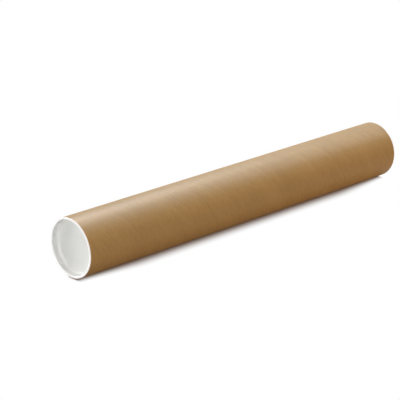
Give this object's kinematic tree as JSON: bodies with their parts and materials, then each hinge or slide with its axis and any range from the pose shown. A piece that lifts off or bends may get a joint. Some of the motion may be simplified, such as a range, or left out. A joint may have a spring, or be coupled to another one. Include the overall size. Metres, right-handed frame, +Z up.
{
  "type": "cardboard mailing tube",
  "caption": "Plain kraft cardboard mailing tube, spiral wound, closed by a white push-in plastic plug with a round recess in each end.",
  "frame": {"origin": "centre of the face that the tube stands on, the outer face of the lower plug's flange", "axes": "+Z up along the tube's axis, X and Y across it; the tube is the same all round"},
  "size_m": [0.0839, 0.084, 0.602],
  "materials": {
    "kraft_paper": "matte",
    "white_plastic": "satin"
  },
  "bodies": {
    "tube": {"kraft_tube": "kraft_paper"},
    "upper_plug": {"top_cap": "white_plastic"},
    "lower_plug": {"bottom_cap": "white_plastic"}
  },
  "joints": [
    {"name": "top_cap_pull", "type": "slide", "parent": "tube", "child": "upper_plug", "axis": [0, 0, 1], "range_m": [0, 0.12]},
    {"name": "bottom_cap_pull", "type": "slide", "parent": "tube", "child": "lower_plug", "axis": [0, 0, -1], "range_m": [0, 0.12]}
  ]
}
